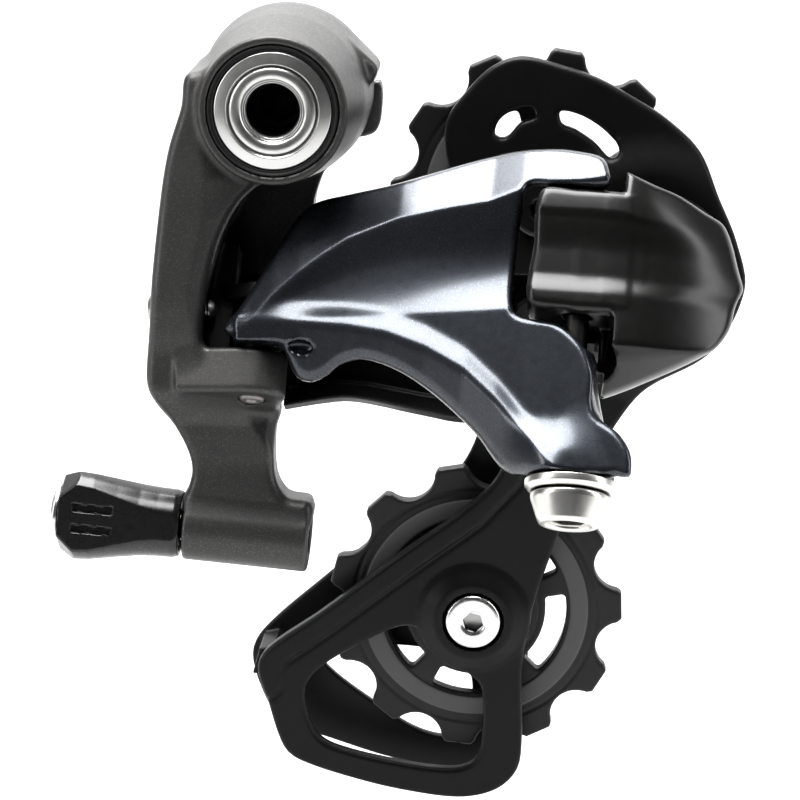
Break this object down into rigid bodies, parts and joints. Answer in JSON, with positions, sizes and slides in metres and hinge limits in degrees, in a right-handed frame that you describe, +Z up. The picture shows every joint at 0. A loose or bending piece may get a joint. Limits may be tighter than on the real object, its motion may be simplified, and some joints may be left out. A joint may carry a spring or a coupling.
{
  "type": "rear bicycle derailleur",
  "caption": "Short-cage rear derailleur with a slanted four-bar link, sprung cage, two jockey pulleys and a cable adjuster.",
  "frame": {"origin": "centre of the hanger bolt's threaded end, on the bolt's axis; the face that meets the hanger is 8.1 mm outboard of it", "axes": "+X to the front of the bicycle, +Y inboard towards the wheel, +Z up"},
  "size_m": [0.0962, 0.0619, 0.1191],
  "materials": {
    "knuckle_paint": "dark warm grey metallic paint, satin",
    "link_paint": "blue-grey metallic paint, satin gloss",
    "gloss_black": "glossy black",
    "knob_black": "glossy black moulding",
    "satin_black": "satin black",
    "pulley_plastic": "matte black moulding",
    "steel": "machined steel",
    "silver_bolt": "turned silver",
    "seal_rubber": "matte black seal",
    "spring_steel": "spring wire",
    "plate_steel": "dull plated steel"
  },
  "bodies": {
    "hanger_mount": {"hanger_bolt": "silver_bolt", "hanger_bolt_clip": "steel", "hanger_stop_plate": "plate_steel", "knuckle_spring": "spring_steel"},
    "tension_screw": {"hanger_tension_screw": "steel"},
    "upper_body": {"b_knuckle": "knuckle_paint", "knuckle_seal": "seal_rubber", "link_pin_outer_upper": "steel", "link_pin_inner_upper": "steel", "return_spring": "spring_steel", "adjuster_spring": "spring_steel"},
    "high_screw": {"high_limit_screw": "steel"},
    "low_screw": {"low_limit_screw": "steel"},
    "adjuster": {"barrel_adjuster": "knob_black", "adjuster_bolt": "steel", "adjuster_end_ring": "silver_bolt"},
    "front_link": {"outer_link": "link_paint", "cable_clamp_bolt": "silver_bolt", "cable_clamp_washer": "silver_bolt", "link_pin_outer_lower": "steel"},
    "rear_link": {"inner_link": "satin_black", "link_pin_inner_lower": "steel"},
    "lower_body": {"cage_knuckle": "gloss_black", "cage_spring": "spring_steel"},
    "cage": {"cage_outer_plate": "satin_black", "cage_inner_plate": "satin_black", "cage_axle": "steel", "cage_seal": "seal_rubber", "cage_stop_pin": "steel", "tension_pulley_bolt": "silver_bolt", "guide_pulley_bolt": "silver_bolt", "guide_pulley_bush": "steel", "tension_pulley_bush": "steel", "guide_pulley_cap_outer": "plate_steel", "guide_pulley_cap_inner": "plate_steel", "tension_pulley_cap_outer": "plate_steel", "tension_pulley_cap_inner": "plate_steel"},
    "guide_wheel": {"guide_pulley": "pulley_plastic"},
    "tension_wheel": {"tension_pulley": "pulley_plastic"}
  },
  "joints": [
    {"name": "hanger_swing", "type": "hinge", "parent": "hanger_mount", "child": "upper_body", "pos_m": [0, -0.0081, 0], "axis": [0, -1, 0], "range_deg": [0, 30], "stiffness_Nm_per_rad": 0.5, "springref_deg": -57.3},
    {"name": "link_swing", "type": "hinge", "parent": "upper_body", "child": "front_link", "pos_m": [-0.00269, -0.02825, -0.03128], "axis": [0.0479, 0.4994, 0.865], "range_deg": [0, 50], "stiffness_Nm_per_rad": 0.6, "springref_deg": -45.84},
    {"name": "rear_link_swing", "type": "hinge", "parent": "upper_body", "child": "rear_link", "pos_m": [-0.00539, -0.01884, -0.03656], "axis": [0.0479, 0.4994, 0.865], "range_deg": [0, 50]},
    {"name": "lower_body_swing", "type": "hinge", "parent": "front_link", "child": "lower_body", "pos_m": [0.04046, -0.04004, -0.02686], "axis": [0.0479, 0.4994, 0.865], "range_deg": [-50, 0]},
    {"name": "cage_swing", "type": "hinge", "parent": "lower_body", "child": "cage", "pos_m": [0.0504, -0.0081, -0.0261], "axis": [0, -1, 0], "range_deg": [0, 100], "stiffness_Nm_per_rad": 0.3, "springref_deg": -68.75},
    {"name": "guide_spin", "type": "hinge", "parent": "cage", "child": "guide_wheel", "pos_m": [0.03492, 0, -0.01755], "axis": [0, 1, 0], "continuous": true},
    {"name": "tension_spin", "type": "hinge", "parent": "cage", "child": "tension_wheel", "pos_m": [0.02583, 0, -0.07893], "axis": [0, 1, 0], "continuous": true},
    {"name": "adjuster_turn", "type": "hinge", "parent": "upper_body", "child": "adjuster", "pos_m": [-0.01314, -0.0279, -0.05841], "axis": [0.9962, 0, -0.0872], "range_deg": [-720, 720]},
    {"name": "high_screw_turn", "type": "hinge", "parent": "upper_body", "child": "high_screw", "pos_m": [-0.01764, -0.02745, -0.0279], "axis": [1, 0, 0], "range_deg": [-720, 720]},
    {"name": "low_screw_turn", "type": "hinge", "parent": "upper_body", "child": "low_screw", "pos_m": [-0.01764, -0.02214, -0.0279], "axis": [1, 0, 0], "range_deg": [-720, 720]},
    {"name": "tension_screw_turn", "type": "hinge", "parent": "hanger_mount", "child": "tension_screw", "pos_m": [-0.01476, -0.00522, -0.00873], "axis": [1, 0, 0], "range_deg": [-720, 720]}
  ],
  "couplings": [
    {"joint": "rear_link_swing", "follows": "link_swing", "ratio": 1},
    {"joint": "lower_body_swing", "follows": "link_swing", "ratio": -1}
  ]
}
